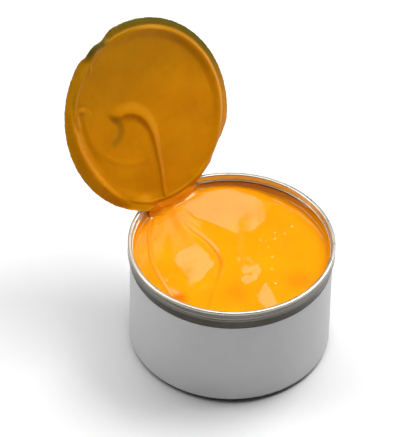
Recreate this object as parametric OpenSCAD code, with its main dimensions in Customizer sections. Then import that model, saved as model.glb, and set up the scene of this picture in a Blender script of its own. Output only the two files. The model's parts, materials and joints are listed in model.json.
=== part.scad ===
// Squat easy-open paint tin, opened: the lid is peeled back and still hangs on
// an uncut strip. +Z is up. The origin is the centre of the base on the tin's
// axis, the lid's hinge is on the +Y side and the pull tab was over the -Y side.

/* [Tin] */
// Outside diameter over the top seam
seam_d = 87.3; // [80:0.1:100]
// Height from the surface it stands on to the top of the seam
tin_h = 53; // [50:0.5:80]
// Thickness of the tinplate
sheet = 0.3; // [0.24:0.02:0.32]
// How far the seam stands out past the drawn wall
seam_out = 1.15; // [1.1:0.05:1.3]
// Height of the double seam
seam_h = 5.2; // [4.8:0.1:5.6]
// Radius of the corner between wall and base
base_corner = 2.2; // [1.6:0.1:2.6]
// Height of the raised middle of the base
base_rise = 1.6; // [1.2:0.1:2]

/* [Label] */
// Distance from the top of the seam down to the label
label_drop = 9.5; // [8:0.5:14]
// Height of the label's lower edge
label_low = 2.4; // [2.2:0.1:6]
// Thickness of the paper
paper = 0.12; // [0.08:0.02:0.2]
// Length of the glued overlap round the tin
label_lap = 10; // [6:1:20]

/* [Lid] */
// Depth of the torn ledge below the top of the seam
ledge_drop = 2.9; // [2.4:0.1:3.2]
// Width of the torn ledge inside the chuck wall
ledge_w = 0.4; // [0.3:0.05:0.6]
// Gap between the lid's torn edge and the ledge
tear_gap = 0.45; // [0.4:0.05:0.6]
// Distance from the tin's axis to the line where the lid bends
hinge_y = 38.85; // [38:0.05:39]
// How far the lid is opened
lid_open = 119; // [60:1:122]
// Depth of the ring bead pressed into the lid
bead_d = 1.2; // [0.8:0.1:1.4]
// Turn of the pull tab away from the point opposite the hinge
tab_turn = -22; // [-30:1:0]
// How far the pull tab is lifted
tab_lift = 25; // [0:1:80]

/* [Contents] */
// Depth of the paint's surface below the top of the seam
paint_drop = 6; // [5.8:0.1:20]
// Thickness of the film on the lid
film = 0.9; // [0.5:0.1:1]

/* [Hidden] */
$fn = 96;

seam_r = seam_d / 2;
wall_r = seam_r - seam_out;
// Air between the folded layers of the seam
layer_gap = (seam_out - 3 * sheet) / 3;
cover_hook_r = wall_r + layer_gap;
body_hook_r = cover_hook_r + sheet + layer_gap;
// Inner face of the chuck wall, and the torn edge inside it
chuck_r = wall_r - 2 * sheet - 0.05;
ledge_r = chuck_r - ledge_w;
ledge_z = tin_h - ledge_drop;
seam_low = tin_h - seam_h;
crown_curve = 0.6;

// Base: the raised middle with one bead, and the ring that it stands on
stand_in = wall_r - 6.1;
middle_r = stand_in - 1.6;
bead_in = 14;
bead_out = 25;
bead_slope = 1.4;
bead_up = 0.8;

// Lid, drawn closed: z = 0 is the upper face of its rim
lid_r = ledge_r - tear_gap;
bead_mid = lid_r - 4.1;
bead_half = 2.3;
// Mean radius of the bend, and the neck that bends
bend_r = 0.45;
neck_half = 8.6;
neck_start = 0.9;
wing_start = 4.5;
wing_slope = 1.2;
hinge_z = ledge_z - sheet / 2 + bend_r;

// Dent that the tab's nose pressed into the lid's edge
dent_half = 6.5;
dent_d = 1.9;

// Pull tab, in its own frame: y = 0 is its folding line, +y runs to the lid's middle
fold_r = lid_r - 2.8;
tab_air = 0.3;
tab_t = 1.1;
web_t = 0.4;
fold_up = tab_air + tab_t / 2;
nose_r = 7.2;
nose_y = 5.4;
tail_r = 9.2;
tail_y = 15.4;
rim_w = 1.4;
finger_r = 6.3;
finger_y = 15.9;
slot_half = 3.6;
slot_from = -0.7;
slot_to = 8.4;
rivet_y = 5.4;
rivet_r = 2.2;
rivet_foot = 1.5;
rivet_head = 0.5;
island_t = 0.35;
island_half = 3.1;
island_from = 1.3;

// Unit normal on the left of the way from a to b
function left_of(a, b) = [a[1] - b[1], b[0] - a[0]] / norm(b - a);

// A path moved sideways by t, its corners mitred
function beside(p, t) =
    let (last = len(p) - 1)
    [for (i = [0 : last])
        let (n1 = left_of(p[max(i - 1, 0)], p[max(i, 1)]))
        let (n2 = left_of(p[min(i, last - 1)], p[min(i + 1, last)]))
        p[i] + t * (n1 + n2) / (1 + n1 * n2)];

function turned(p) = [for (i = [len(p) - 1 : -1 : 0]) p[i]];

// Points along an arc, from angle a to angle b
function arc(x, y, r, a, b, steps) =
    [for (i = [0 : steps])
        let (t = a + (b - a) * i / steps)
        [x + r * cos(t), y + r * sin(t)]];

// A sheet of thickness t whose one face follows the path
module sheet_of(path, t) {
    polygon(concat(path, turned(beside(path, t))));
}

// The can body's outer face, from the middle of the base to the end of its hook
function body_path() =
    let (hook_bend = (body_hook_r - wall_r) / 2)
    let (hook_top = tin_h - 1.1)
    let (corner_x = wall_r - base_corner)
    concat(
        [[0, base_rise], [bead_in, base_rise],
         [bead_in + bead_slope, base_rise + bead_up],
         [bead_out - bead_slope, base_rise + bead_up],
         [bead_out, base_rise], [middle_r, base_rise], [stand_in, 0]],
        arc(corner_x, base_corner, base_corner, -90, 0, 8),
        arc(wall_r + hook_bend, hook_top, hook_bend, 180, 0, 8),
        [[body_hook_r, seam_low + 0.9]]);

// The end's exposed face, from the torn edge over the seam to the tip of its hook
function ring_path() =
    let (curl = (seam_r - cover_hook_r) / 2)
    concat(
        [[ledge_r, ledge_z], [chuck_r, ledge_z]],
        arc(chuck_r + crown_curve, tin_h - crown_curve, crown_curve, 180, 90, 6),
        arc(seam_r - crown_curve, tin_h - crown_curve, crown_curve, 90, 0, 6),
        arc(seam_r - curl, seam_low + curl, curl, 0, -180, 10),
        [[cover_hook_r, tin_h - 2.1]]);

// The lid's upper face, from its middle to its torn edge, with the ring bead
function lid_path() =
    concat(
        [[0, 0]],
        [for (i = [0 : 12])
            let (s = i / 12)
            [bead_mid + bead_half * (2 * s - 1), -bead_d * (1 - cos(360 * s)) / 2]],
        [[lid_r, 0]]);

// The rim pressed down under the tab's nose, as a section through the tab's middle
function dent_path() =
    [[-bead_mid + 0.5, -bead_d], [-bead_mid - 1.2, -dent_d], [-seam_r, -dent_d]];

module can_body() {
    color("silver")
    rotate_extrude() sheet_of(body_path(), sheet);
}

module end_ring() {
    color("lightgray") {
        rotate_extrude() sheet_of(ring_path(), -sheet);
        // the uncut segment between the hinge line and the ledge
        translate([0, 0, ledge_z - sheet])
        intersection() {
            cylinder(r = ledge_r + ledge_w / 2, h = sheet);
            translate([-seam_r, hinge_y, -sheet]) cube([seam_d, seam_r, 3 * sheet]);
        }
    }
}

module sealing_compound() {
    color("dimgray")
    translate([0, 0, tin_h - 0.55])
    difference() {
        cylinder(r = body_hook_r + 0.15, h = 0.23);
        translate([0, 0, -1]) cylinder(r = wall_r - 0.15, h = 3);
    }
}

module label() {
    inner = wall_r + 0.02;
    h = tin_h - label_drop - label_low;
    lap_turn = label_lap / inner * 180 / PI;
    color("white")
    translate([0, 0, label_low]) {
        difference() {
            cylinder(r = inner + paper, h = h);
            translate([0, 0, -1]) cylinder(r = inner, h = h + 2);
        }
        // the overlap, on the side away from the pull tab
        rotate([0, 0, 50 - lap_turn / 2])
        rotate_extrude(angle = lap_turn)
        translate([inner + paper / 2, 0]) square([paper * 1.5, h]);
    }
}

module paint() {
    top = tin_h - paint_drop;
    inner = wall_r - sheet - 0.05;
    floor_z = base_rise + bead_up + sheet + 0.1;
    corner_x = wall_r - base_corner;
    corner_r = base_corner - sheet - 0.05;
    color("orange")
    rotate_extrude()
    polygon(concat(
        [[0, floor_z], [middle_r + 0.3, floor_z], [stand_in + 0.6, sheet + 0.1]],
        arc(corner_x, base_corner, corner_r, -90, 0, 6),
        [[inner, top], [inner - 6, top + 0.3], [0, top + 0.5]]));
}

// The bent strip, from the uncut segment round to the open lid
module hinge_web() {
    color("silver")
    translate([-neck_half, hinge_y, hinge_z])
    rotate([90, 0, 90])
    linear_extrude(2 * neck_half)
    polygon(concat(
        arc(0, 0, bend_r + sheet / 2, -90, -90 - lid_open, 12),
        turned(arc(0, 0, bend_r - sheet / 2, -90, -90 - lid_open, 12))));
}

// Opens the lid, whose parts are drawn closed at the height of their rim
module opened() {
    translate([0, hinge_y, hinge_z])
    rotate([-lid_open, 0, 0])
    translate([0, -hinge_y, -hinge_z])
    translate([0, 0, ledge_z])
    children();
}

// What is cut off a disc so that it turns clear of the seam beside its neck
module neck_relief(past = 0) {
    out = seam_d;
    start = hinge_y - neck_start - past;
    wing = hinge_y - wing_start - past;
    translate([-out, start, -5]) cube([2 * out, out, 10]);
    for (side = [-1, 1])
        translate([0, 0, -5])
        linear_extrude(10)
        polygon([for (p = [[neck_half - past, out], [neck_half - past, wing + 1],
                           [neck_half + 1 - past, wing], [lid_r / 2, wing - wing_slope / 2],
                           [out, wing - 3 * wing_slope], [out, out]])
                 [side * p[0], p[1]]]);
}

// The stretch of rim under the tab's nose, with its margin
module dent_zone(margin) {
    rotate([0, 0, tab_turn])
    translate([-dent_half - margin, -lid_r - 2, -6])
    cube([2 * (dent_half + margin), lid_r - bead_mid + 2 + margin, 12]);
}

module dented_rim() {
    intersection() {
        rotate([0, 0, tab_turn])
        translate([-dent_half - 0.1, 0, 0])
        rotate([90, 0, 90])
        linear_extrude(2 * dent_half + 0.2)
        sheet_of(dent_path(), sheet);
        translate([0, 0, -5]) cylinder(r = lid_r, h = 10);
    }
}

module lid_panel() {
    color("gainsboro")
    opened() {
        difference() {
            rotate_extrude() sheet_of(lid_path(), -sheet);
            dent_zone(0);
            neck_relief();
        }
        dented_rim();
    }
}

module lid_paint() {
    edge = 1;
    inner_face = beside(lid_path(), -sheet);
    last = len(inner_face) - 1;
    kept = [for (i = [0 : last]) if (i < last) inner_face[i]];
    face = concat(kept, [[lid_r - edge, -sheet]]);
    color("darkorange")
    opened()
    difference() {
        rotate_extrude() sheet_of(face, -film);
        dent_zone(0.4);
        neck_relief(0.6);
    }
}

// Puts a part drawn in the tab's frame in its place on the closed lid
module on_fold() {
    rotate([0, 0, tab_turn])
    translate([0, -fold_r, 0])
    children();
}

module rivet() {
    color("silver")
    opened()
    on_fold()
    translate([0, rivet_y, 0]) {
        cylinder(r = rivet_foot, h = island_t);
        translate([0, 0, island_t]) cylinder(r = rivet_r, h = rivet_head);
    }
}

module tab_island() {
    color("lightgray")
    opened()
    on_fold()
    difference() {
        union() {
            translate([-island_half, island_from, 0])
            cube([2 * island_half, rivet_y - island_from, island_t]);
            translate([0, rivet_y, 0]) cylinder(r = island_half, h = island_t);
        }
        translate([0, rivet_y, -1]) cylinder(r = rivet_foot, h = 3);
    }
}

// The tab's outline, drawn in by inset, from the nose circle to the tail circle
module tab_outline(inset) {
    rn = nose_r - inset;
    rt = tail_r - inset;
    lean = asin((rt - rn) / (tail_y - nose_y));
    translate([0, nose_y]) circle(r = rn);
    translate([0, tail_y]) circle(r = rt);
    polygon([[rn * cos(lean), nose_y - rn * sin(lean)],
             [rt * cos(lean), tail_y - rt * sin(lean)],
             [-rt * cos(lean), tail_y - rt * sin(lean)],
             [-rn * cos(lean), nose_y - rn * sin(lean)]]);
}

module pull_tab() {
    color("silver")
    opened()
    on_fold()
    translate([0, 0, fold_up])
    rotate([tab_lift, 0, 0])
    translate([0, 0, -tab_t / 2])
    difference() {
        linear_extrude(tab_t) tab_outline(0);
        // the thin web inside the curled rim, sunk from both faces
        for (z = [-1, (tab_t + web_t) / 2])
            translate([0, 0, z])
            linear_extrude(1 + (tab_t - web_t) / 2)
            difference() {
                tab_outline(rim_w);
                translate([0, finger_y]) circle(r = finger_r + 0.9);
            }
        translate([0, finger_y, -1]) cylinder(r = finger_r, h = 4);
        translate([-slot_half, slot_from, -1]) cube([2 * slot_half, slot_to - slot_from, 4]);
    }
}

can_body();
end_ring();
sealing_compound();
label();
paint();
hinge_web();
lid_panel();
lid_paint();
rivet();
tab_island();
pull_tab();
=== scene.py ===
import json
import math

import bmesh
import bpy
import numpy as np
from mathutils import Matrix, Vector, noise


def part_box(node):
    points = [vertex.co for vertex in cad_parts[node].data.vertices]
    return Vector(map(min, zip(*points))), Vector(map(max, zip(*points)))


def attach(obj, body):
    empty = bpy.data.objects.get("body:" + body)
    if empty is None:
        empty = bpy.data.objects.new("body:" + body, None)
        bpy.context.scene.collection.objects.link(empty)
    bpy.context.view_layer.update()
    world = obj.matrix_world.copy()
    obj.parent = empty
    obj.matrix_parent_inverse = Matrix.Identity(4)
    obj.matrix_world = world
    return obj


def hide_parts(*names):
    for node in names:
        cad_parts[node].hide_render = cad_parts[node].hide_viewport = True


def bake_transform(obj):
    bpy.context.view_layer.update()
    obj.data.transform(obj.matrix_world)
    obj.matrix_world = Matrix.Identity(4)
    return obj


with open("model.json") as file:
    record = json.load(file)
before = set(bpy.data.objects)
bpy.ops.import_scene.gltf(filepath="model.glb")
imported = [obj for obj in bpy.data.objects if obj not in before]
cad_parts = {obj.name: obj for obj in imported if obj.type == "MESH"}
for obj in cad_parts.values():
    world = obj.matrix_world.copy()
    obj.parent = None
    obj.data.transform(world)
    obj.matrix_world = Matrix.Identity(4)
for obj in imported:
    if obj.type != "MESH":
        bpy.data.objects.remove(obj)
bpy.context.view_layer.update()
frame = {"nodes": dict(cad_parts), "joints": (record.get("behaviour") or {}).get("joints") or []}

# -------- facts from the frame
MM = 0.001
JOINTS = {joint["name"]: joint for joint in frame["joints"]}
RING_LOW, RING_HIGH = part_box("end_ring")
LABEL_LOW, LABEL_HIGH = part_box("label")

# The design's own thicknesses, gaps and angles, as in part.scad
SHEET = 0.3 * MM
SEAM_OUT = 1.15 * MM
LEDGE_DROP = 2.9 * MM
LEDGE_WIDTH = 0.4 * MM
TEAR_GAP = 0.45 * MM
PAPER = 0.12 * MM
BASE_CORNER = 2.2 * MM
BASE_RISE = 1.6 * MM
BASE_BEAD = 0.8 * MM
LABEL_LAP = 10 * MM
PAINT_DROP = 6 * MM
BEAD_HALF = 2.3 * MM
BEAD_DEPTH = 1.2 * MM
LID_OPEN = math.radians(119)
TAB_TURN = math.radians(-22)
TAB_LIFT = math.radians(25)

SEAM_R = RING_HIGH.x
TIN_TOP = RING_HIGH.z
SEAM_LOW = RING_LOW.z
WALL_R = SEAM_R - SEAM_OUT
LAYER_GAP = (SEAM_OUT - 3 * SHEET) / 3
COVER_HOOK_R = WALL_R + LAYER_GAP
BODY_HOOK_R = COVER_HOOK_R + SHEET + LAYER_GAP
CHUCK_R = WALL_R - 2 * SHEET - 0.05 * MM
LEDGE_R = CHUCK_R - LEDGE_WIDTH
LEDGE_Z = TIN_TOP - LEDGE_DROP
LID_R = LEDGE_R - TEAR_GAP
BEAD_MID = LID_R - 4.1 * MM
PAINT_Z = TIN_TOP - PAINT_DROP
HINGE = Vector(JOINTS["lid_hinge"]["pos_m"])
TAU = 2 * math.pi


# -------- small helpers
def smooth(x):
    """0 below 0, 1 above 1, and a smooth step between."""
    x = np.clip(x, 0.0, 1.0)
    return x * x * (3 - 2 * x)


def bump(x):
    """A smooth hump, 1 at 0 and 0 from 1 on."""
    return smooth(1 - np.abs(x))


def round_bump(x):
    """A hump of cosine shape, 1 at 0 and 0 from 1 on."""
    return 0.5 + 0.5 * np.cos(np.pi * np.clip(x, -1, 1))


def arc(x, y, radius, start, end, steps):
    """Points on an arc, with the angles in degrees."""
    angles = np.radians(np.linspace(start, end, steps + 1))
    return [(x + radius * math.cos(a), y + radius * math.sin(a)) for a in angles]


def beside(path, offset):
    """The path moved to its left by offset, with mitred corners."""
    points = np.array(path, float)
    way = np.diff(points, axis=0)
    normals = np.stack([-way[:, 1], way[:, 0]], 1)
    normals /= np.linalg.norm(normals, axis=1)[:, None]
    before = np.vstack([normals[:1], normals])
    after = np.vstack([normals, normals[-1:]])
    share = 1 + (before * after).sum(1)[:, None]
    return [tuple(p) for p in points + offset * (before + after) / share]


def curve_points(points, count):
    """count points on a smooth curve through the given ones (Catmull-Rom)."""
    p = np.array(points, float)
    p = np.vstack([2 * p[0] - p[1], p, 2 * p[-1] - p[-2]])
    spans = len(p) - 3
    t = np.linspace(0, spans - 1e-6, count)
    i = t.astype(int)
    u = (t - i)[:, None]
    a, b, c, d = p[i], p[i + 1], p[i + 2], p[i + 3]
    return 0.5 * (2 * b + (c - a) * u + (2 * a - 5 * b + 4 * c - d) * u**2
                  + (3 * b - a - 3 * c + d) * u**3)


def add_mesh(name, verts, faces, material, body, crease=40, replaces=()):
    """A smooth-shaded mesh piece, sharp over crease degrees, that rides on a body unless body is None."""
    mesh = bpy.data.meshes.new(name)
    mesh.from_pydata([tuple(v) for v in verts], [], [tuple(f) for f in faces])
    mesh.validate()
    fix = bmesh.new()
    fix.from_mesh(mesh)
    bmesh.ops.recalc_face_normals(fix, faces=fix.faces)
    fix.to_mesh(mesh)
    fix.free()
    mesh.shade_smooth()
    mesh.set_sharp_from_angle(angle=math.radians(crease))
    piece = bpy.data.objects.new(name, mesh)
    bpy.context.scene.collection.objects.link(piece)
    mesh.materials.append(material)
    if body:
        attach(piece, body)
    if replaces:
        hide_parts(*replaces)
    return piece


def tint(piece, values):
    """Stores the tint that paint_material reads, one value for each point."""
    layer = piece.data.attributes.new("tint", "FLOAT", "POINT")
    layer.data.foreach_set("value", np.asarray(values, np.float32))
    return piece


def revolve(profile, steps=288):
    """Vertices and faces of a closed (r, z) outline turned about Z. Points on the axis are kept once."""
    verts, faces, rows = [], [], []
    for r, z in profile:
        if r < 1e-7:
            rows.append([len(verts)] * steps)
            verts.append((0, 0, z))
            continue
        rows.append(list(range(len(verts), len(verts) + steps)))
        for k in range(steps):
            a = TAU * k / steps
            verts.append((r * math.cos(a), r * math.sin(a), z))
    for i in range(len(rows)):
        one, two = rows[i], rows[(i + 1) % len(rows)]
        for k in range(steps):
            n = (k + 1) % steps
            corner = []
            for v in (one[k], one[n], two[n], two[k]):
                if v not in corner:
                    corner.append(v)
            if len(corner) > 2:
                faces.append(corner)
    return verts, faces


def ring_faces(count, sides, closed):
    """The faces of a tube between count rings of points, joined end to end if closed and capped if not."""
    faces = []
    for k in range(count if closed else count - 1):
        m = (k + 1) % count
        for s in range(sides):
            q = (s + 1) % sides
            faces.append((k * sides + s, m * sides + s, m * sides + q, k * sides + q))
    if not closed:
        faces += [tuple(range(sides)), tuple(range((count - 1) * sides, count * sides))]
    return faces


def grid_faces(columns, rows):
    """The faces of a grid of points, counted along each column in turn, and the loop round its rim."""
    index = np.arange(columns * rows).reshape(columns, rows)
    faces = np.stack([index[:-1, :-1], index[1:, :-1], index[1:, 1:], index[:-1, 1:]], -1)
    rim = np.concatenate([index[:-1, 0], index[-1, :-1], index[:0:-1, -1], index[0, :0:-1]])
    return faces.reshape(-1, 4), rim


def disc_grid(n):
    """An all-quad grid over the unit disc: its points, faces and the loop round its rim."""
    side = np.linspace(-1, 1, n + 1)
    u, v = np.meshgrid(side, side, indexing="ij")
    x = u * np.sqrt(1 - v * v / 2)
    y = v * np.sqrt(1 - u * u / 2)
    return x.ravel(), y.ravel(), *grid_faces(n + 1, n + 1)


def shell(top, bottom, faces, rim):
    """One closed mesh from two sheets with the same grid."""
    count = len(top)
    verts = np.vstack([top, bottom])
    under = faces[:, ::-1] + count
    ahead = np.roll(rim, -1)
    side = np.stack([rim, rim + count, ahead + count, ahead], 1)
    return verts, np.vstack([faces, under, side])


def ripple(x, y, scale, seed, octaves=3):
    """Smooth random relief, about -1 to 1, on points given in metres."""
    out = np.empty(len(x))
    for i in range(len(x)):
        place = Vector((x[i] * scale, y[i] * scale, seed))
        out[i] = noise.fractal(place, 1.0, 2.0, octaves, noise_basis="PERLIN_ORIGINAL")
    return out


class Curve:
    """A line drawn on a surface through points in mm, which tells where other points lie beside it."""

    def __init__(self, points, count=160):
        self.p = curve_points(points, count) * MM
        way = np.gradient(self.p, axis=0)
        way /= np.linalg.norm(way, axis=1)[:, None]
        self.normal = np.stack([-way[:, 1], way[:, 0]], 1)

    def place(self, x, y):
        """(signed distance in mm, positive on the line's left; share of the way along, 0 to 1)."""
        q = np.stack([x, y], 1)
        signed = np.empty(len(q))
        along = np.empty(len(q))
        for start in range(0, len(q), 4000):
            part = q[start:start + 4000]
            gap = part[:, None] - self.p[None]
            near = (gap**2).sum(2).argmin(1)
            vector = part - self.p[near]
            side = np.sign((vector * self.normal[near]).sum(1))
            signed[start:start + 4000] = side * np.linalg.norm(vector, axis=1) / MM
            along[start:start + 4000] = near / (len(self.p) - 1)
        return signed, along


# -------- materials
def feed(tree, made, inputs):
    """Links each named or numbered input of a node to a socket, or sets its value."""
    for key, value in inputs.items():
        if isinstance(value, bpy.types.NodeSocket):
            tree.links.new(value, made.inputs[key])
        else:
            made.inputs[key].default_value = value


def add_node(tree, kind, inputs, **settings):
    """A node with its settings and its inputs."""
    made = tree.nodes.new(kind)
    for name, value in settings.items():
        setattr(made, name, value)
    feed(tree, made, inputs)
    return made


def new_material(name):
    """An empty node material with a shader linked to its output."""
    material = bpy.data.materials.new(name)
    material.use_nodes = True
    tree = material.node_tree
    tree.nodes.clear()
    shader = tree.nodes.new("ShaderNodeBsdfPrincipled")
    add_node(tree, "ShaderNodeOutputMaterial", {"Surface": shader.outputs[0]})
    return material, tree, shader


def ramp(tree, source, stops):
    """A colour ramp on source. stops are (position, grey or colour)."""
    made = add_node(tree, "ShaderNodeValToRGB", {0: source})
    bar = made.color_ramp
    while len(bar.elements) < len(stops):
        bar.elements.new(0.5)
    for element, (place, colour) in zip(bar.elements, stops):
        element.position = place
        if not isinstance(colour, tuple):
            colour = (colour, colour, colour)
        element.color = (*colour, 1)
    return made.outputs[0]


def noise_on(tree, vector, scale, detail=3.0, roughness=0.55):
    """Noise from 0 to 1, with scale in lumps per metre."""
    inputs = {"Vector": vector, "Scale": scale, "Detail": detail, "Roughness": roughness}
    return add_node(tree, "ShaderNodeTexNoise", inputs).outputs["Fac"]


def bump_on(tree, height, strength, distance, under=None):
    """A bumped normal, with distance in metres, on top of another one if given."""
    inputs = {"Height": height, "Strength": strength, "Distance": distance}
    if under:
        inputs["Normal"] = under
    return add_node(tree, "ShaderNodeBump", inputs).outputs[0]


def mixed(tree, one, two, factor=1.0, way="MULTIPLY"):
    """Two colours in one. Each input is a socket or a value."""
    inputs = {"A": one, "B": two, "Factor": factor}
    return add_node(tree, "ShaderNodeMix", inputs, data_type="RGBA", blend_type=way).outputs["Result"]


def math_on(tree, operation, one, two):
    """Two numbers in one. Each is a socket or a value."""
    return add_node(tree, "ShaderNodeMath", {0: one, 1: two}, operation=operation).outputs[0]


def grade(tree, source, start, end):
    """0 before start and 1 after end, along one number."""
    inputs = {"Value": source, "From Min": start, "From Max": end}
    return add_node(tree, "ShaderNodeMapRange", inputs).outputs[0]


def split(tree, vector):
    """The x, y and z sockets of a vector."""
    return add_node(tree, "ShaderNodeSeparateXYZ", {0: vector}).outputs


def object_place(tree):
    """The place on the object, in metres."""
    return tree.nodes.new("ShaderNodeTexCoord").outputs["Object"]


def turned_place(tree):
    """(distance from the tin's axis, height, 0): lines that depend on it run round the tin."""
    x, y, z = split(tree, object_place(tree))
    flat = add_node(tree, "ShaderNodeCombineXYZ", {0: x, 1: y})
    length = add_node(tree, "ShaderNodeVectorMath", {0: flat.outputs[0]}, operation="LENGTH")
    return add_node(tree, "ShaderNodeCombineXYZ", {0: length.outputs["Value"], 1: z}).outputs[0]


def stretched_place(tree, scale):
    """Object place with each axis scaled, so that a noise on it turns into streaks."""
    return add_node(tree, "ShaderNodeMapping", {"Vector": object_place(tree), "Scale": scale}).outputs[0]


def metal(name, colour, dark, rough, lines, line_scale, line_depth):
    """Tinplate or steel: rolled lines, round the tin or straight, cloudy tone and uneven gloss."""
    material, tree, shader = new_material(name)
    place = turned_place(tree) if lines == "round" else stretched_place(tree, (0.04, 1.0, 1.0))
    line = noise_on(tree, place, line_scale, 4.0, 0.6)
    cloud = noise_on(tree, object_place(tree), 60.0, 4.0)
    gloss = noise_on(tree, object_place(tree), 220.0)
    tone = ramp(tree, cloud, [(0.3, dark), (0.7, colour)])
    feed(tree, shader, {
        "Base Color": mixed(tree, tone, ramp(tree, line, [(0.3, 0.86), (0.7, 1.0)])),
        "Metallic": 1.0,
        "Roughness": ramp(tree, gloss, [(0.3, rough * 0.85), (0.75, rough * 1.25)]),
        "Normal": bump_on(tree, line, 0.5, line_depth)})
    return material


def shade_seam_bands(material):
    """Darkens the seam's outer wall in bands of painted shade and painted reflection, one for each ridge and
    mark, and leaves its crown bright.
    """
    tree = material.node_tree
    shader = tree.nodes["Principled BSDF"]
    bright = shader.inputs["Base Color"].links[0].from_socket
    radius, height = split(tree, turned_place(tree))[:2]
    side = grade(tree, radius, SEAM_R - 0.7 * MM, SEAM_R - 0.35 * MM)
    below = grade(tree, height, TIN_TOP - 0.45 * MM, TIN_TOP - 0.9 * MM)
    outside = math_on(tree, "MULTIPLY", side, below)
    # painted shade and painted reflection: grey levels up the seam's outer wall, darkest at its foot
    bands = [(0.0, 0.12), (0.10, 0.16), (0.2, 0.36), (0.27, 0.17), (0.34, 0.33), (0.5, 0.36), (0.57, 0.16),
             (0.63, 0.38), (0.86, 0.5)]
    seam_shade = ramp(tree, grade(tree, height, SEAM_LOW, TIN_TOP), bands)
    feed(tree, shader, {"Base Color": mixed(tree, bright, seam_shade, outside)})


def paper_material():
    """Smooth uncoated paper: faint cloud, fine fibres, a matt surface and a little slack."""
    material, tree, shader = new_material("label_paper")
    cloud = noise_on(tree, object_place(tree), 45.0, 5.0)
    fibre = noise_on(tree, stretched_place(tree, (1.0, 1.0, 0.25)), 2600.0, 4.0)
    slack = noise_on(tree, stretched_place(tree, (1.0, 1.0, 0.3)), 130.0, 2.0)
    tone = ramp(tree, cloud, [(0.35, (0.53, 0.53, 0.54)), (0.65, (0.56, 0.56, 0.57))])
    feed(tree, shader, {
        "Base Color": mixed(tree, tone, ramp(tree, fibre, [(0.3, 0.965), (0.7, 1.0)])),
        "Roughness": ramp(tree, cloud, [(0.3, 0.5), (0.7, 0.62)]),
        "Specular IOR Level": 0.35,
        "Normal": bump_on(tree, fibre, 0.12, 0.00002, bump_on(tree, slack, 0.25, 0.0003))})
    return material


def pitted_normal(tree, place):
    """The skin of the paint: scattered small pits from burst bubbles, and a fine unevenness."""
    cells = add_node(tree, "ShaderNodeTexVoronoi", {"Vector": place, "Scale": 330.0})
    pits = ramp(tree, cells.outputs["Distance"], [(0.0, 0.0), (0.13, 1.0)])
    pitted = ramp(tree, noise_on(tree, place, 95.0, 2.0), [(0.56, 0.0), (0.62, 1.0)])
    unpitted = math_on(tree, "SUBTRACT", 1.0, pitted)
    pitted_skin = bump_on(tree, math_on(tree, "MAXIMUM", pits, unpitted), 0.6, 0.00012)
    return bump_on(tree, noise_on(tree, place, 420.0), 0.03, 0.0002, pitted_skin)


def paint_material(name, deep, light, other, rough, gloss=0.5, sheen=(1.0, 1.0, 1.0)):
    """Thick wet paint: slow colour drift, pits, and another colour by the tint attribute, for the metal
    showing through where the film on the lid is thinnest and for painted shade in the paint's hollow and
    crease and on the lid's upper part. sheen is the colour of its reflections."""
    material, tree, shader = new_material(name)
    place = object_place(tree)
    tone = ramp(tree, noise_on(tree, place, 70.0, 4.0), [(0.3, deep), (0.7, light)])
    share = add_node(tree, "ShaderNodeAttribute", {}, attribute_name="tint").outputs["Fac"]
    patch = noise_on(tree, place, 160.0)
    feed(tree, shader, {
        "Base Color": mixed(tree, tone, (*other, 1), share, "MIX"),
        "Roughness": ramp(tree, patch, [(0.3, rough * 0.8), (0.75, rough * 1.3)]),
        "IOR": 1.5,
        "Subsurface Weight": 0.12,
        "Subsurface Radius": (0.004, 0.0016, 0.0004),
        "Subsurface Scale": 0.5,
        "Specular IOR Level": gloss,
        "Specular Tint": (*sheen, 1),
        "Normal": pitted_normal(tree, place)})
    return material


def rubber_material(name, colour, rough):
    """Rubbery sealing compound with a grainy surface."""
    material, tree, shader = new_material(name)
    grain = noise_on(tree, object_place(tree), 900.0)
    low = tuple(c * 0.8 for c in colour)
    feed(tree, shader, {
        "Base Color": ramp(tree, grain, [(0.3, low), (0.7, colour)]),
        "Roughness": rough,
        "Normal": bump_on(tree, grain, 0.3, 0.00005)})
    return material


def floor_material():
    """Pale matt studio floor with a barely uneven tone."""
    material, tree, shader = new_material("floor")
    soft = noise_on(tree, object_place(tree), 3.0, 2.0)
    feed(tree, shader, {
        "Base Color": ramp(tree, soft, [(0.3, 0.9), (0.7, 0.915)]),
        "Roughness": 0.9,
        "Specular IOR Level": 0.0})
    return material


SEAM_METAL = metal("seam_metal", (0.74, 0.70, 0.61), (0.64, 0.60, 0.52), 0.3, "round", 2600.0, 0.00002)
shade_seam_bands(SEAM_METAL)
# the torn edge's bare steel, made brighter and creamier than the seam as a painted highlight
LIP_HIGHLIGHT_METAL = metal("lip_highlight_metal", (0.95, 0.92, 0.80), (0.85, 0.80, 0.68), 0.5, "round", 900.0, 0.00003)
WALL_METAL = metal("wall_metal", (0.075, 0.07, 0.055), (0.055, 0.05, 0.04), 0.3, "round", 1800.0, 0.00004)
LID_METAL = metal("lid_metal", (0.66, 0.65, 0.62), (0.58, 0.57, 0.54), 0.24, "straight", 1500.0, 0.00003)
TAB_METAL = metal("tab_metal", (0.72, 0.72, 0.71), (0.64, 0.64, 0.63), 0.22, "straight", 2200.0, 0.00003)
LABEL_PAPER = paper_material()
# the third colour is the deep orange of painted shade in the paint's hollow, crease and along the wall
FILL_PAINT = paint_material("fill_paint", (0.93, 0.31, 0.001), (0.97, 0.36, 0.001), (0.78, 0.17, 0.001),
                            0.1)
# the same paint as in the tin, its colour darkened as painted shade on the lid
LID_PAINT = paint_material("film_paint", (0.56, 0.2, 0.0005), (0.67, 0.252, 0.0007), (0.12, 0.088, 0.008),
                           0.3, 0.3, (1.0, 0.5, 0.05))
COMPOUND = rubber_material("sealing_rubber", (0.24, 0.24, 0.24), 0.7)


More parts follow.
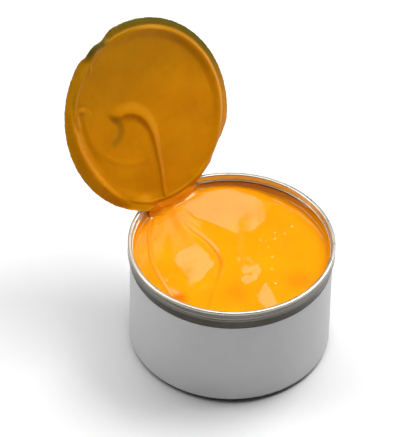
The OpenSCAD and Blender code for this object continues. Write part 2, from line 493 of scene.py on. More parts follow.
# -------- the tin
def tin_wall():
    """The drawn cup, from the middle of its base up to the hook inside the seam."""
    hook_bend = (BODY_HOOK_R - WALL_R) / 2
    hook_top = TIN_TOP - 1.1 * MM
    hook_end = SEAM_LOW + 0.9 * MM
    stand = WALL_R - 6.1 * MM
    # the raised ring in the base, as (radius in mm, share of its height), and the step outside it
    bead = ((14, 0), (14.5, 0.15), (15.1, 0.75), (15.6, 1), (23.4, 1), (23.9, 0.75), (24.5, 0.15), (25, 0))
    step = ((-1.9, 1), (-1.4, 0.9), (-0.5, 0.15), (0.2, 0))
    path = [(0.0, BASE_RISE)]
    path += [(r * MM, BASE_RISE + BASE_BEAD * share) for r, share in bead]
    path += [(stand + out * MM, BASE_RISE * share) for out, share in step]
    path += arc(WALL_R - BASE_CORNER, BASE_CORNER, BASE_CORNER, -90, 0, 10)
    path += [(WALL_R, z * MM) for z in (10, 25, 40)]
    path += arc(WALL_R + hook_bend, hook_top, hook_bend, 180, 0, 8)
    path += [(BODY_HOOK_R, hook_end)]
    outline = path + beside(path, SHEET)[::-1]
    verts, faces = revolve(outline)
    return add_mesh("tin_cup", verts, faces, WALL_METAL, "tin", 50, ["can_body"])


def seam_ring():
    """The double seam with its two seaming marks, the chuck wall, and the torn ledge."""
    curl = (SEAM_R - COVER_HOOK_R) / 2
    crown = 0.62 * MM
    bend = 0.14 * MM
    mark_depth = 0.13 * MM
    # the seam's outer wall, as (share of the way down, share of a mark's depth)
    marks = ((0.18, 0), (0.22, 1), (0.26, 0), (0.5, 0.25), (0.54, 1.3), (0.6, 0.5), (0.8, 0.6), (0.84, 1.2),
             (0.88, 0.3))
    top, low = TIN_TOP - crown, SEAM_LOW + curl
    path = arc(LEDGE_R + bend, LEDGE_Z - bend, bend, 180, 90, 4)
    path += [(CHUCK_R - 0.12 * MM, LEDGE_Z), (CHUCK_R, LEDGE_Z + bend)]
    path += arc(CHUCK_R + crown, top, crown, 180, 90, 8)
    path += arc(SEAM_R - crown, top, crown, 90, 0, 8)
    path += [(SEAM_R - mark_depth * depth, top + (low - top) * share) for share, depth in marks]
    path += arc(SEAM_R - curl, low, curl, 0, -180, 12)
    path += [(COVER_HOOK_R, TIN_TOP - 2.1 * MM)]
    outline = path + beside(path, -SHEET)[::-1]
    verts, faces = revolve(outline, 360)
    return add_mesh("seam_ring", uneven_ledge(np.array(verts)), faces, SEAM_METAL, "tin", 40,
                    ["end_ring"])


def uneven_ledge(verts):
    """Moves the ledge's torn edge in and out a little."""
    r = np.hypot(verts[:, 0], verts[:, 1])
    turn = np.arctan2(verts[:, 1], verts[:, 0])
    tear = 0.025 * MM * (np.sin(37 * turn) + 0.7 * np.sin(83 * turn + 1)) / 2
    edge = smooth((CHUCK_R - 0.1 * MM - r) / (0.25 * MM)) * (verts[:, 2] < LEDGE_Z + 0.05 * MM)
    scale = 1 + edge * (tear - 0.02 * MM) / r
    verts[:, :2] *= scale[:, None]
    return verts


def torn_lip():
    """The burr along the torn edge of the ledge, from one end of the hinge round to the other: bare steel,
    its colour brightened as a painted highlight.
    """
    radius, height = LEDGE_R + 0.12 * MM, LEDGE_Z - 0.04 * MM
    thickest = 0.16 * MM
    start = math.asin((HINGE.y + 0.3 * MM) / radius)
    steps, sides = 300, 8
    taper_steps = 6
    verts = []
    for k in range(steps + 1):
        a = math.pi - start + (math.pi + 2 * start) * k / steps
        thick = thickest * min(1, 0.3 + min(k, steps - k) / taper_steps)
        for s in range(sides):
            b = TAU * s / sides
            r, z = radius + thick * math.cos(b), height + thick * math.sin(b)
            verts.append((r * math.cos(a), r * math.sin(a), z))
    faces = ring_faces(steps + 1, sides, closed=False)
    return add_mesh("torn_lip", verts, faces, LIP_HIGHLIGHT_METAL, "tin", 80)


def ledge_segment():
    """The stretch of panel that was never torn, between the bend and the ledge."""
    front = HINGE.y + 0.1 * MM
    reach = math.sqrt((LEDGE_R + 0.1 * MM) ** 2 - front**2)
    columns, rows = 61, 5
    top = []
    for x in np.linspace(-reach, reach, columns):
        back = math.sqrt((LEDGE_R + 0.25 * MM) ** 2 - x * x)
        top += [(x, y, LEDGE_Z - 0.01 * MM) for y in np.linspace(front, back, rows)]
    top = np.array(top)
    verts, faces = shell(top, top - np.array([0, 0, SHEET]), *grid_faces(columns, rows))
    return add_mesh("uncut_segment", verts, faces, SEAM_METAL, "tin")


def label_wrap():
    """The paper, wrapped once round and lapped over itself at the back."""
    glue = 0.02 * MM
    inner = WALL_R + glue
    low, high = LABEL_LOW.z, LABEL_HIGH.z
    lap = LABEL_LAP / inner
    start = math.radians(50) - lap / 2
    steps, rows = 300, 14
    climb = 0.03
    outer, within = [], []
    for i in range(steps + 1):
        round_by = (TAU + lap) * i / steps
        a = start + round_by
        base = inner + float(smooth((round_by - TAU + climb) / climb)) * (PAPER + glue)
        for k in range(rows + 1):
            z = low + (high - low) * k / rows
            slack = 0.02 * MM * math.sin(9 * a + 2 * math.sin(40 * z / (high - low)))
            r = base + max(slack * math.sin(math.pi * k / rows), 0)
            within.append((r * math.cos(a), r * math.sin(a), z))
            outer.append(((r + PAPER) * math.cos(a), (r + PAPER) * math.sin(a), z))
    verts, faces = shell(np.array(outer), np.array(within), *grid_faces(steps + 1, rows + 1))
    return add_mesh("label_wrap", verts, faces, LABEL_PAPER, "tin", 40, ["label"])


# -------- the paint in the tin
# Lines and patches on the paint's surface, in millimetres from the tin's axis, with the hinge at +y
FOLD_LINE = Curve([(-2.5, 38), (-3.8, 30), (-4, 22), (-3.2, 12), (-4.4, 3), (-8.5, -4), (-16, -10),
                   (-24, -15.6), (-31, -22)])
WALL_LINE = Curve([(-11.7, 39), (-18, 33.5), (-25, 25), (-30.7, 15.6), (-34.3, 5.5), (-37, -4.5),
                   (-38.4, -10)])
FRONT_LINE = Curve([(35.5, -5), (33, -11), (29, -18), (23.5, -25), (17, -31.5), (9.8, -37)])
BACK_LINE = Curve([(10, 39.5), (17.5, 36.8), (25, 31.8), (32, 23.5), (36, 14.5), (38.2, 4.5)])
SHINE_BACK = [(3, 38.5), (12, 40), (18, 37), (25, 29.5), (30.5, 20), (31.5, 11), (27, 7.5), (18, 6),
              (10.4, 7), (8, 13), (6, 20), (1, 28)]
SHINE_LEFT = [(-3.6, 38), (-4.6, 28), (-6, 18), (-6.3, 10), (-7.5, 3), (-14, -2), (-21, -5), (-26.5, -7.5),
              (-27.5, -3), (-24, 3), (-22, 12), (-17.5, 14), (-11.5, 14), (-9.5, 20), (-8.6, 30)]
SHINE_MID = [(2, -2), (4, -4), (4.6, -11.5), (2.5, -16.5), (-2, -19), (-6.4, -18.5), (-6, -14), (-2.4, -8.6)]
SHINE_FRONT = [(-7.5, -24.5), (1, -23.5), (-1.5, -29), (-5, -35.5), (-9.2, -34.5), (-9.8, -29.5)]
# Air bubbles at the surface: place and size in millimetres
BUBBLES = [(15, -1, 0.8), (16.2, -3.4, 0.6), (20, -4.3, 0.9), (14.3, -6.8, 0.6), (25.5, -4.5, 0.7),
           (30.6, -2.9, 0.8), (7, -18, 0.6), (2.7, -25.6, 0.7), (11.5, 2.2, 0.5), (18.5, 1.2, 0.5),
           (22.4, -1.6, 0.6), (31.6, 26, 0.8), (34, 12.5, 0.6), (12, -12.5, 0.6), (-15, 33, 0.6),
           (-31.5, 4, 0.7), (27, 31.5, 0.7), (9.2, -7.6, 0.5)]
# The direction in which the drawn-off patches rise, and how steeply, in degrees
DRAWN = np.array([0.643, 0.766])
SHINE_TILT = 6.2


def inside(outline, x, y, soft):
    """1 inside an outline in millimetres and 0 outside, with an edge soft millimetres wide."""
    corners = np.array(outline, float)
    px, py = x / MM, y / MM
    away = np.full(len(px), np.inf)
    crossings = np.zeros(len(px), int)
    for (ax, ay), (bx, by) in zip(corners, np.roll(corners, -1, axis=0)):
        dx, dy = bx - ax, by - ay
        t = np.clip(((px - ax) * dx + (py - ay) * dy) / (dx * dx + dy * dy), 0, 1)
        away = np.minimum(away, np.hypot(px - ax - t * dx, py - ay - t * dy))
        between = (ay > py) != (by > py)
        crossings += between & (px < dx * (py - ay) / (dy or 1e-9) + ax)
    signed = np.where(crossings % 2 == 1, away, -away)
    return smooth(0.5 + signed / soft)


def paint_height(x, y):
    """Height of the paint's surface over its level, in mm."""
    h = 0.05 * ripple(x, y, 45.0, 3.1) + 0.006 * ripple(x, y, 160.0, 8.4)

    # the fold: heaped up on its -x side, then a crease with a low lip beyond
    gap, along = FOLD_LINE.place(x, y)
    power = smooth((along - 0.02) / 0.35) * (1 - 0.8 * smooth((along - 0.55) / 0.25))
    before = np.maximum(-gap, 0)
    beyond = np.maximum(gap, 0)
    heap = 0.7 * smooth(before / 3.0) * (1 - smooth((before - 4) / 14))
    lip = 0.2 * bump((beyond - 1.8) / 1.8)
    h += power * (heap + lip - 0.3 * bump(gap / 1.3))

    # the band along the wall, a step with a hollow at its lower end
    gap, along = WALL_LINE.place(x, y)
    h += 0.3 * smooth(-gap / 1.4 + 0.5) * smooth(along / 0.15) - 0.16 * bump((gap - 0.8) / 1.1)
    h -= 0.4 * np.exp(-(((x / MM + 35) / 3.2) ** 2 + ((y / MM + 6) / 4) ** 2))

    # the wiped edges at the front and back
    gap, along = FRONT_LINE.place(x, y)
    h += 0.1 * bump(gap / 1.3) * smooth(along / 0.2) * smooth((1 - along) / 0.2)
    gap, along = BACK_LINE.place(x, y)
    h += 0.12 * bump(gap / 1.4) * smooth(along / 0.15) * smooth((1 - along) / 0.15)
    for bx, by, size in BUBBLES:
        h += 0.35 * size * bump(np.hypot(x / MM - bx, y / MM - by) / (1.1 * size))
    return h


def paint_shade(x, y):
    """How much painted shade darkens the paint, 0 to 1: in the hollow, in the crease and along the wall, and
    darker colour in two broad patches.
    """
    u, v = x / MM, y / MM
    hollow = np.exp(-(((u + 34.5) / 3.6) ** 2 + ((v + 7.5) / 3.6) ** 2))
    gap, along = FOLD_LINE.place(x, y)
    crease = 0.6 * bump((gap + 0.6) / 1.3) * bump((along - 0.52) / 0.3) + 0.25 * bump(gap / 0.9)
    # two broad patches of darker colour
    slack = 0.4 * np.exp(-(((u - 11) / 6) ** 2 + ((v + 31) / 5) ** 2))
    slack += 0.3 * np.exp(-(((u + 15) / 7) ** 2 + ((v + 20) / 5) ** 2))
    wall_gap = WALL_LINE.place(x, y)[0]
    return np.clip(hollow + crease + slack + 0.45 * bump(wall_gap / 0.9), 0, 1)


def ragged_patches(x, y, outlines, rag, drift, soft):
    """Patches from 0 to 1, their edges shifted by rag along x and drift along y, in mm."""
    a, b = x + rag * MM, y + drift * MM
    return sum(inside(outline, a, b, soft) for outline in outlines)


def broad_shine(x, y):
    """Where the surface was drawn off smooth in two broad strokes, steepest near the hinge."""
    rag, drift = ripple(x, y, 330.0, 5.5), ripple(x, y, 120.0, 2.5)
    patches = ragged_patches(x, y, (SHINE_BACK, SHINE_LEFT), 1.0 * rag, 1.6 * drift, 1.2)
    return patches * (1 + 0.6 * smooth((y / MM - 12) / 14)) * (1 + 0.1 * drift)


def wrinkled_shine(x, y):
    """The two smaller strokes, whose skin is wrinkled."""
    rag, drift = ripple(x, y, 330.0, 5.5), ripple(x, y, 120.0, 2.5)
    patches = ragged_patches(x, y, (SHINE_MID, SHINE_FRONT), 2.2 * rag, 2.0 * drift, 1.4)
    return patches * (1.15 + 0.9 * rag)


def drawn_relief(x, y, shine, soft):
    """Relief, in mm, whose slope along DRAWN follows a shine, less the mean of each line."""
    step, half = 0.4 * MM, 44 * MM
    lines = np.arange(-half, half + step, step)
    w, u = np.meshgrid(lines, lines)
    gx = w * DRAWN[0] + u * DRAWN[1]
    gy = w * DRAWN[1] - u * DRAWN[0]
    in_tin = np.hypot(gx, gy) < WALL_R
    slope = shine(gx.ravel(), gy.ravel()).reshape(gx.shape) * in_tin
    rise = math.tan(math.radians(SHINE_TILT)) * slope
    count = np.maximum(in_tin.sum(1, keepdims=True), 1)
    rise = rise - in_tin * rise.sum(1, keepdims=True) / count * 0.9
    relief = np.cumsum(rise, axis=1) * step / MM
    relief -= (relief * in_tin).sum(1, keepdims=True) / count
    relief = softened(relief, soft)
    # look the points up in the grid
    pw = (x * DRAWN[0] + y * DRAWN[1] + half) / step
    pu = (x * DRAWN[1] - y * DRAWN[0] + half) / step
    i, j = pu.astype(int), pw.astype(int)
    fu, fw = pu - i, pw - j
    return ((1 - fu) * (1 - fw) * relief[i, j] + fu * (1 - fw) * relief[i + 1, j]
            + (1 - fu) * fw * relief[i, j + 1] + fu * fw * relief[i + 1, j + 1])


def softened(relief, soft):
    """The relief blurred from line to line over soft lines, so that it has no stripes."""
    reach = 6
    kernel = np.exp(-0.5 * (np.arange(-reach, reach + 1) / soft) ** 2)
    padded = np.pad(relief, ((reach, reach), (0, 0)), mode="edge")
    return sum(k * padded[i:i + len(relief)] for i, k in enumerate(kernel / kernel.sum()))


def paint_fill():
    """The paint in the tin: a worked, folded surface over a plain plug."""
    gx, gy, faces, rim = disc_grid(240)
    outer = WALL_R - SHEET - 0.06 * MM
    x, y = gx * outer, gy * outer
    to_wall = outer - np.hypot(x, y)
    h = paint_height(x, y) + drawn_relief(x, y, broad_shine, 3.2) + drawn_relief(x, y, wrinkled_shine, 1.2)
    h *= 0.25 + 0.75 * smooth(to_wall / (4 * MM))
    # it clings a little to the wall, and was drawn up towards the lid at the hinge
    h += 2.1 * (1 - smooth(to_wall / (1.3 * MM)))
    h += 1.6 * smooth((y - (HINGE.y - 2.4 * MM)) / (3 * MM)) * bump(x / (21 * MM))
    top = np.stack([x, y, PAINT_Z - 0.35 * MM + h * MM], 1)
    floor_z = BASE_RISE + BASE_BEAD + SHEET + 0.1 * MM
    verts = [tuple(v) for v in top]
    faces = [tuple(f) for f in faces]
    last = list(rim)
    # rings down the wall and in over the base, as (share of the height, share of the radius)
    for level, share in ((0.6, 1.0), (0.3, 1.0), (0.0, 0.97), (0.0, 0.5)):
        z = floor_z + (PAINT_Z - floor_z) * level
        ring = []
        for v in rim:
            ring.append(len(verts))
            verts.append((top[v][0] * share, top[v][1] * share, z))
        for k in range(len(rim)):
            m = (k + 1) % len(rim)
            faces.append((last[k], ring[k], ring[m], last[m]))
        last = ring
    verts.append((0, 0, floor_z))
    for k in range(len(rim)):
        faces.append((last[k], len(verts) - 1, last[(k + 1) % len(rim)]))
    fill = add_mesh("paint_fill", verts, faces, FILL_PAINT, "tin", 70, ["paint"])
    # painted shade, carried by the tint attribute on the top surface only
    depth = np.zeros(len(verts))
    depth[:len(x)] = paint_shade(x, y)
    return tint(fill, depth)


# -------- the lid, drawn closed and then opened
def turned(points, angle, axis):
    """Points turned about an axis through the origin."""
    return np.asarray(points, float) @ np.array(Matrix.Rotation(angle, 3, axis)).T


def open_lid(points):
    """Turns points drawn on the closed lid about the hinge to where the lid stands."""
    pivot = np.array(HINGE)
    return turned(np.asarray(points) - pivot, -LID_OPEN, "X") + pivot


def lid_outline(angle):
    """The lid's radius at an angle about its middle: a torn rim with flats and nicks, and a straight side
    at the hinge."""
    degrees = np.degrees(angle)
    tear = 0.05 * np.sin(41 * angle) + 0.04 * np.sin(97 * angle + 1) + 0.03 * np.sin(173 * angle + 2)
    folded = 2.5 * bump((degrees - 47) / 24) + 2.3 * bump((degrees - 68) / 15)
    nicked = 1.3 * bump((degrees + 104) / 9) + 0.8 * bump((degrees + 120) / 5)
    radius = LID_R + (tear - folded - nicked) * MM
    hinge_side = (HINGE.y - 0.9 * MM) / np.maximum(np.sin(angle), 0.5)
    return np.minimum(radius, hinge_side)


def lid_face(x, y):
    """Height of the closed lid's upper face over its rim: the ring bead, the dent under the tab's nose and
    the wings beside the bend, which curl in over the seam."""
    z = -BEAD_DEPTH * round_bump((np.hypot(x, y) - BEAD_MID) / BEAD_HALF)
    # dent under the tab's nose
    px = x * math.cos(TAB_TURN) + y * math.sin(TAB_TURN)
    py = -x * math.sin(TAB_TURN) + y * math.cos(TAB_TURN)
    nose = bump(px / (9 * MM)) * smooth((-py - (BEAD_MID - 0.5 * MM)) / (2.2 * MM))
    z = z * (1 - nose) - 2.0 * MM * nose
    # wings
    near = smooth((9 * MM - (HINGE.y - y)) / (9 * MM))
    wing = smooth((np.abs(x) - 7.5 * MM) / (9 * MM))
    return z - np.where(x > 0, 1.6 * MM, 2.8 * MM) * near * wing


def lid_grid(n, inset=0.0):
    """A grid over the closed lid, its rim moved in by inset."""
    gx, gy, faces, rim = disc_grid(n)
    angle = np.arctan2(gy, gx)
    reach = lid_outline(angle) - inset
    return gx * reach, gy * reach, faces, rim


def lid_shell():
    """The peeled panel of the end."""
    x, y, faces, rim = lid_grid(200)
    z = LEDGE_Z + lid_face(x, y)
    top = open_lid(np.stack([x, y, z], 1))
    low = open_lid(np.stack([x, y, z - SHEET], 1))
    verts, faces = shell(top, low, faces, rim)
    return add_mesh("lid_sheet", verts, faces, LID_METAL, "lid", 50, ["lid_panel"])


# Lines on the lid's film, in millimetres from the lid's middle, with the hinge at +y
HOOK_LINE = Curve([(-17.6, -3.8), (-14.4, -5.2), (-10.4, -5), (-6.2, -3), (-2.9, 0.8), (-1.3, 5.4),
                   (-1, 11.4), (-1.7, 17.8), (-2.7, 25), (-4, 31.5), (-4.8, 36)])
LEFT_RING = Curve([(-32.8, -24.3), (-34.8, -16.1), (-35.7, -8.3), (-35.6, 0), (-33.7, 8.7), (-30.3, 18.1),
                   (-25.6, 26.7), (-18.6, 33.6)])
THIN_LINE = Curve([(-17.2, -6.4), (-15.2, -3), (-15.2, 1.6), (-18.2, 4.6), (-22.4, 5.4)])
NICK_LINE = Curve([(-33.6, -9), (-32.8, -13.4), (-30.4, -14.6), (-27.6, -13)])
NOTCH_LINE = Curve([(-22.5, -37), (-20, -34.6), (-19.6, -31), (-21.3, -26.5)])
SWIRL_LINE = Curve([(-29.5, 1), (-25, 9.4), (-17, 15.4), (-8, 17.6), (-3, 16.2)])


def faded(along, first, last):
    """1 along a line, easing to 0 over a first and a last share of its length."""
    return smooth(along / first) * smooth((1 - along) / last)


def film_hook(x, y):
    """Relief of the hook, in mm: a fold, thick where it starts, that thins out towards the hinge."""
    gap, along = HOOK_LINE.place(x, y)
    thinner = smooth((along - 0.3) / 0.5)
    steep, gentle = 1.9 - 0.8 * thinner, 5.5 - 3.5 * thinner
    ridge = 1.35 * np.where(gap > 0, bump(gap / steep), bump(gap / gentle))
    size = (1 - 0.62 * smooth((along - 0.25) / 0.5)) * smooth(along / 0.08)
    return size * (ridge - 0.2 * bump((gap - 2.4) / 2.2))


def film_swirls(x, y):
    """Relief, in mm, of the hollow inside the hook, the swirl round it and the two nicks by the rim."""
    relief = -0.28 * np.exp(-(((x / MM + 19) / 10) ** 2 + ((y / MM - 1) / 10) ** 2))
    gap, along = SWIRL_LINE.place(x, y)
    relief += 0.16 * bump(gap / 2.2) * faded(along, 0.2, 0.2)
    gap, along = NICK_LINE.place(x, y)
    relief += 0.4 * bump(gap / 1.6) * smooth((1 - along) / 0.3) - 0.15 * bump((gap + 2.0) / 1.5)
    gap, along = NOTCH_LINE.place(x, y)
    return relief + 0.5 * bump(gap / 1.4) * smooth((1 - along) / 0.3)


def film_band(x, y):
    """Relief, in mm, of the heavy band along the rim on the -x side, with a valley inside it."""
    gap, along = LEFT_RING.place(x, y)
    valley = bump((gap + 3.2) / 2.8) * bump((along - 0.35) / 0.45)
    return faded(along, 0.15, 0.1) * (x < 0) * (1.25 * smooth((gap + 1.4) / 3.2) - 0.5 * valley)


def film_thickness(x, y):
    """(thickness of the film on the lid in mm, how much of the metal's colour shows, 0 to 1: where the film
    is thinnest, and as painted shade on the lid's upper part).
    """
    angle = np.arctan2(y, x)
    degrees = np.degrees(angle)
    rim_gap = (lid_outline(angle) - np.hypot(x, y)) / MM
    gap, along = THIN_LINE.place(x, y)
    crescent = bump(gap / 2.6) * faded(along, 0.15, 0.15)
    t = 0.85 + 0.22 * ripple(x, y, 40.0, 12.7) + 0.07 * ripple(x, y, 130.0, 2.2)
    t += film_hook(x, y) + film_swirls(x, y) + film_band(x, y) - 0.35 * crescent

    # wiped thin along the rim on the +x side, rounded off along it on the -x side
    wiped = smooth((rim_gap - 0.2) / 2.4)
    left = smooth(-x / MM / 12)
    t = t * (0.28 + 0.72 * np.maximum(wiped, left))
    t = t * smooth((rim_gap + 0.12) / (0.5 + 3.9 * left)) + 0.04
    bare = (1 - smooth((rim_gap - 1.7) / 1.8)) * np.minimum(1, 1.4 * bump((degrees + 48) / 95))
    notch = bump((degrees + 112) / 11) * (1 - smooth((rim_gap - 1.2) / 2.2))
    t = np.maximum(t * (1 - 0.55 * notch), 0.05)

    # painted shade: away from the hinge a little more of the metal's colour is mixed in, which darkens the
    # lid's upper part
    away = 0.2 * smooth((5 - y / MM) / 40) + 0.16 * smooth((10 - y / MM) / 36)
    return t, np.clip(0.75 * bare + 0.4 * crescent + 0.8 * notch + away, 0, 1)


def film_skin(x, y):
    """The height from which the film's thickness is counted: the lid's lower face with its ring softened."""
    r = np.hypot(x, y)
    degrees = np.degrees(np.arctan2(y, x))
    gap = r - BEAD_MID + 0.7 * MM
    wide = np.where(gap > 0, 2.1 * MM, 3.8 * MM)
    ring = bump(gap / wide) * (0.1 + 1.25 * bump((degrees + 25) / 95) + 0.25 * bump((degrees - 120) / 40))
    wings = lid_face(x, y) + BEAD_DEPTH * round_bump((r - BEAD_MID) / BEAD_HALF)
    return LEDGE_Z - SHEET + wings - BEAD_DEPTH * ring


def lid_film():
    """The film of paint under the closed lid, whose skin softens the pressed ring."""
    x, y, faces, rim = lid_grid(222, 0.12 * MM)
    z = LEDGE_Z + lid_face(x, y) - SHEET
    # the tint below holds the metal's colour where the film is thinnest and painted shade on the lid's upper
    # part
    t, thin_and_shade = film_thickness(x, y)
    top = open_lid(np.stack([x, y, z + 0.02 * MM], 1))
    skin = np.minimum(film_skin(x, y) - t * MM, z - 0.12 * MM)
    low = open_lid(np.stack([x, y, skin], 1))
    verts, quads = shell(low, top, faces, rim)
    film = add_mesh("lid_film", verts, quads, LID_PAINT, "lid", 75, ["lid_paint"])
    return tint(film, np.concatenate([thin_and_shade, thin_and_shade]))


# -------- pieces over the bend, drawn for the open lid
# (y, z) along the open lid, away from the bend, and square to it, towards its inner face
UP_LID = np.array([-math.cos(LID_OPEN), math.sin(LID_OPEN)])
OFF_LID = np.array([-UP_LID[1], UP_LID[0]])


def hinge_path(flat):
    """The bent strip's middle line in (y, z): flat behind the bend, round it, and up the open lid."""
    middle = LEDGE_Z - SHEET / 2
    points = [(HINGE.y + flat, middle), (HINGE.y + flat / 2, middle)]
    points += arc(HINGE.y, HINGE.z, HINGE.z - middle, -90, -90 - math.degrees(LID_OPEN), 14)
    last = np.array(points[-1])
    return points + [tuple(last + UP_LID * up * MM) for up in (0.5, 1.0, 1.6)]


def hinge_strip():
    """The strip of panel metal that was left uncut, drawn bent round the hinge and up the open lid."""
    path = hinge_path(1.6 * MM)
    half, columns = 9.2 * MM, 41
    across = np.linspace(-half, half, columns)
    front, back = [np.array([(x, y, z) for x in across for y, z in beside(path, off)])
                   for off in (SHEET / 2, -SHEET / 2)]
    verts, faces = shell(front, back, *grid_faces(columns, len(path)))
    strip = add_mesh("hinge_strip", verts, faces, LID_METAL, None, 60, ["hinge_web"])
    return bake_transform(strip)


def smear_line(on_lid, below, count):
    """A line in (y, z) over the bend, through points in mm on the lid and then below the hinge."""
    pivot = np.array([HINGE.y, HINGE.z])
    points = [pivot + (UP_LID * up + OFF_LID * off) * MM for up, off in on_lid]
    points += [pivot + np.array(point) * MM for point in below]
    return curve_points(points, count)


def hinge_paint():
    """Paint dragged over the bend, from the film on the lid down into the tin."""
    rows, columns = 22, 90
    outer = smear_line(((3.0, 0.9), (1.7, 1.2), (0.6, 1.15)),
                       ((-1.2, -0.5), (-1.3, -1.6), (-1.7, -2.8), (-2.8, -3.8)), rows)
    inner = smear_line(((3.0, 0.6), (1.7, 0.5), (0.6, 0.48)),
                       ((-0.55, -0.3), (-0.35, -0.9), (-0.3, -2.5), (-1.6, -4.4)), rows)
    left, right, fade = -13.5 * MM, 12 * MM, 6 * MM
    front, back = [], []
    for x in np.linspace(left, right, columns):
        full = float(smooth(min(x - left, right - x) / fade))
        full *= 1 + 0.12 * noise.noise(Vector((x * 260, 0.3, 7.1)))
        for k in range(rows):
            drag = 0.25 * MM * noise.noise(Vector((x * 320, k * 0.25, 2.2)))
            skin = inner[k] + (outer[k] - inner[k]) * max(full, 0.05)
            front.append((x, skin[0] - max(drag, -0.1 * MM) * full, skin[1]))
            back.append((x, *inner[k]))
    verts, faces = shell(np.array(front), np.array(back), *grid_faces(columns, rows))
    smear = add_mesh("hinge_paint", verts, faces, FILL_PAINT, None, 75)
    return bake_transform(smear)


# -------- the pull tab
# The tab's own frame has its fold at the origin and its finger ring at +y
NOSE_R, NOSE_Y = 7.2 * MM, 5.4 * MM
TAIL_R, TAIL_Y = 9.2 * MM, 15.4 * MM
FINGER_R, FINGER_Y = 6.3 * MM, 15.9 * MM
SLOT_HALF, SLOT_FROM, SLOT_TO = 3.6 * MM, -0.7 * MM, 8.4 * MM
TAB_THICK = 1.1 * MM
FOLD_UP = 0.85 * MM
FOLD_IN = 2.8 * MM
RIVET_Y = 5.4 * MM


def tab_frame(points, lifted):
    """Points drawn in the tab's own frame, put on the open lid, and lifted with the tab if asked."""
    p = np.asarray(points, float)
    if lifted:
        p = turned(p, TAB_LIFT, "X") + np.array([0, 0, FOLD_UP])
    p = turned(p + np.array([0, FOLD_IN - LID_R, 0]), TAB_TURN, "Z")
    return open_lid(p + np.array([0, 0, LEDGE_Z]))


def tab_outline(inset, steps=20):
    """The tab's rounded outline: a nose circle and a tail circle with straight sides."""
    rn, rt = NOSE_R - inset, TAIL_R - inset
    lean = math.degrees(math.asin((rt - rn) / (TAIL_Y - NOSE_Y)))
    points = arc(0, NOSE_Y, rn, 180 + lean, 360 - lean, steps)
    return points + arc(0, TAIL_Y, rt, -lean, 180 + lean, steps + 8)


def tube(loop, wide, tall, sides=12):
    """A closed tube with an oval section round a flat loop."""
    p = np.array(loop)
    way = np.roll(p, -1, axis=0) - np.roll(p, 1, axis=0)
    way /= np.linalg.norm(way, axis=1)[:, None]
    out = np.stack([way[:, 1], -way[:, 0]], 1)
    verts = []
    for k in range(len(p)):
        for s in range(sides):
            a = TAU * s / sides
            verts.append((*(p[k] + out[k] * wide * math.cos(a)), tall * math.sin(a)))
    return verts, ring_faces(len(p), sides, closed=True)


def plate(loops, half, bevel):
    """A flat plate with rounded edges, from an outline and its holes."""
    curve = bpy.data.curves.new("plate", "CURVE")
    curve.dimensions = "2D"
    curve.fill_mode = "BOTH"
    curve.extrude = half - bevel
    curve.bevel_depth = bevel
    curve.bevel_resolution = 2
    for loop in loops:
        spline = curve.splines.new("POLY")
        spline.points.add(len(loop) - 1)
        for point, (px, py) in zip(spline.points, loop):
            point.co = (px, py, 0, 1)
        spline.use_cyclic_u = True
    holder = bpy.data.objects.new("plate", curve)
    bpy.context.scene.collection.objects.link(holder)
    bpy.context.view_layer.update()
    mesh = bpy.data.meshes.new_from_object(holder.evaluated_get(bpy.context.evaluated_depsgraph_get()))
    weld = bmesh.new()
    weld.from_mesh(mesh)
    bmesh.ops.remove_doubles(weld, verts=weld.verts, dist=1e-7)
    verts = [tuple(v.co) for v in weld.verts]
    weld.verts.index_update()
    faces = [tuple(v.index for v in f.verts) for f in weld.faces]
    weld.free()
    bpy.data.objects.remove(holder)
    return verts, faces


def joined(parts):
    """Several (vertices, faces) as one."""
    verts, faces = [], []
    for part_verts, part_faces in parts:
        start = len(verts)
        verts += [tuple(v) for v in part_verts]
        faces += [tuple(i + start for i in f) for f in part_faces]
    return verts, faces


def circle(radius, y, steps):
    """A closed loop on the tab's middle line."""
    return arc(0, y, radius, 0, 360, steps)[:-1]


def rounded_slot(half, low, high, corner):
    """A closed loop: a rectangle with rounded corners, about the tab's middle line."""
    points = arc(half - corner, high - corner, corner, 0, 90, 5)
    points += arc(-half + corner, high - corner, corner, 90, 180, 5)
    points += arc(-half + corner, low + corner, corner, 180, 270, 5)
    return points + arc(half - corner, low + corner, corner, 270, 360, 5)


def pull_tab():
    """The ring that a finger pulls: a thin web between a curled rim and the curled finger hole."""
    web_hole = circle(FINGER_R + 0.25 * MM, FINGER_Y, 48)
    slot = rounded_slot(SLOT_HALF, SLOT_FROM, SLOT_TO, 0.8 * MM)
    web = plate([tab_outline(0.4 * MM), web_hole, slot], 0.2 * MM, 0.08 * MM)
    rim = tube(tab_outline(0.62 * MM), 0.62 * MM, TAB_THICK / 2)
    curl = tube(circle(FINGER_R + 0.5 * MM, FINGER_Y, 56), 0.5 * MM, 0.48 * MM)
    # a pressed rib on the bridge between slot and finger hole
    rib = tube(rounded_slot(2.2 * MM, 8.75 * MM, 9.25 * MM, 0.2 * MM), 0.12 * MM, 0.3 * MM, 8)
    verts, faces = joined([web, rim, curl, rib])
    return add_mesh("pull_tab_ring", tab_frame(verts, True), faces, TAB_METAL, "tab", 50,
                    ["pull_tab"])


def tab_tongue():
    """The tongue of the tab that the rivet clamps to the lid."""
    half, fold = 3.1 * MM, 1.3 * MM
    outline = arc(0, RIVET_Y, half, 0, 180, 24) + [(-half, fold), (half, fold)]
    verts, faces = plate([outline, circle(1.5 * MM, RIVET_Y, 32)], 0.165 * MM, 0.06 * MM)
    verts = tab_frame(np.array(verts) + np.array([0, 0, 0.185 * MM]), False)
    return add_mesh("tab_tongue", verts, faces, TAB_METAL, "lid", 50, ["tab_island"])


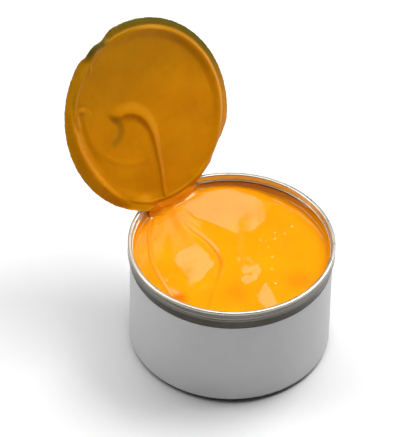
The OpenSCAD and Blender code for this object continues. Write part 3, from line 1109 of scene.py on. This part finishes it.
def rivet():
    """The rivet formed from the lid, with a dished head."""
    shank, head, edge = 1.45 * MM, 2.2 * MM, 0.22 * MM
    outline = [(0.0, -0.25 * MM), (shank, -0.25 * MM), (shank, 0.34 * MM), (head - 0.1 * MM, 0.35 * MM)]
    outline += arc(head - edge, 0.6 * MM, edge, -60, 90, 6)
    outline += [(1.3 * MM, 0.8 * MM), (1.0 * MM, 0.66 * MM), (0.0, 0.62 * MM)]
    verts, faces = revolve(outline, 48)
    verts = tab_frame(np.array(verts) + np.array([0, RIVET_Y, 0]), False)
    return add_mesh("lid_rivet", verts, faces, LID_METAL, "lid", 45, ["rivet"])


# -------- build the object
for build in (tin_wall, seam_ring, torn_lip, ledge_segment, label_wrap, paint_fill, lid_shell, lid_film,
              hinge_strip, hinge_paint, pull_tab, tab_tongue, rivet):
    build()
compound = frame["nodes"]["sealing_compound"].data
compound.materials.clear()
compound.materials.append(COMPOUND)


# -------- floor, light and camera
# The camera's angle about the tin, in degrees from -y, and the point that it and the lamps stand about
VIEW_TURN = -40.6
TARGET = Vector((0, 0, TIN_TOP))
LAMP_DISTANCE = 0.95
FLOOR_REACH = 1.6


def lay_floor():
    """A pale floor, wide enough that low views show no edge."""
    mesh = bpy.data.meshes.new("floor")
    made = bmesh.new()
    bmesh.ops.create_grid(made, x_segments=8, y_segments=8, size=FLOOR_REACH)
    made.to_mesh(mesh)
    made.free()
    floor = bpy.data.objects.new("floor", mesh)
    floor.location = (0, 0, -0.05 * MM)
    bpy.context.scene.collection.objects.link(floor)
    mesh.materials.append(floor_material())


def seen_from(side, height):
    """A direction in degrees: side 0 is to the camera's right and 90 behind the tin, height is up."""
    a, e = math.radians(side + VIEW_TURN), math.radians(height)
    return Vector((math.cos(a) * math.cos(e), math.sin(a) * math.cos(e), math.sin(e)))


def softbox(name, side, height, wide, tall, watts):
    """A white rectangular lamp aimed at the tin."""
    light = bpy.data.lights.new(name, "AREA")
    light.shape = "RECTANGLE"
    light.size, light.size_y = wide, tall
    light.energy = watts
    lamp = bpy.data.objects.new(name, light)
    way = seen_from(side, height)
    lamp.location = TARGET + way * LAMP_DISTANCE
    lamp.rotation_euler = way.to_track_quat("Z", "Y").to_euler()
    bpy.context.scene.collection.objects.link(lamp)


def set_world():
    """A dim studio, grey at the horizon and darker overhead."""
    world = bpy.data.worlds.new("studio")
    bpy.context.scene.world = world
    world.use_nodes = True
    tree = world.node_tree
    way = tree.nodes.new("ShaderNodeTexCoord").outputs["Generated"]
    light = ramp(tree, split(tree, way)[2], [(0.0, 0.38), (0.2, 0.29), (0.52, 0.055)])
    feed(tree, tree.nodes["Background"], {"Color": light})


def place_camera():
    """A long lens, looking down at the tin. Angles in degrees, distance in seam radii."""
    distance = 37.2 * SEAM_R
    rise = math.radians(42.97)
    pitch, yaw, roll = math.radians(42.64), math.radians(-0.65), math.radians(-1.13)
    data = bpy.data.cameras.new("camera")
    data.sensor_width = 36
    data.lens = 319.2
    data.clip_end = 50
    camera = bpy.data.objects.new("camera", data)
    place = Vector((0, -distance * math.cos(rise), distance * math.sin(rise)))
    ahead = Vector((math.sin(yaw) * math.cos(pitch), math.cos(yaw) * math.cos(pitch), -math.sin(pitch)))
    right = Vector((math.cos(yaw), -math.sin(yaw), 0))
    down = ahead.cross(right)
    tilted_right = math.cos(roll) * right + math.sin(roll) * down
    tilted_down = -math.sin(roll) * right + math.cos(roll) * down
    turn = Matrix.Rotation(math.radians(VIEW_TURN), 3, "Z")
    basis = Matrix((tilted_right, -tilted_down, -ahead)).transposed()
    camera.matrix_world = Matrix.Translation(TARGET + turn @ place) @ (turn @ basis).to_4x4()
    bpy.context.scene.collection.objects.link(camera)
    bpy.context.scene.camera = camera


lay_floor()
set_world()
softbox("key", 32, 53, 0.65, 0.65, 6.7)
softbox("back_top", 90, 70, 1.3, 0.74, 7.4)
softbox("overhead", 240, 84, 0.5, 0.5, 0.5)
softbox("left_fill", 176, 34, 0.5, 0.5, 2.75)
place_camera()
bpy.context.scene.view_settings.view_transform = "Standard"
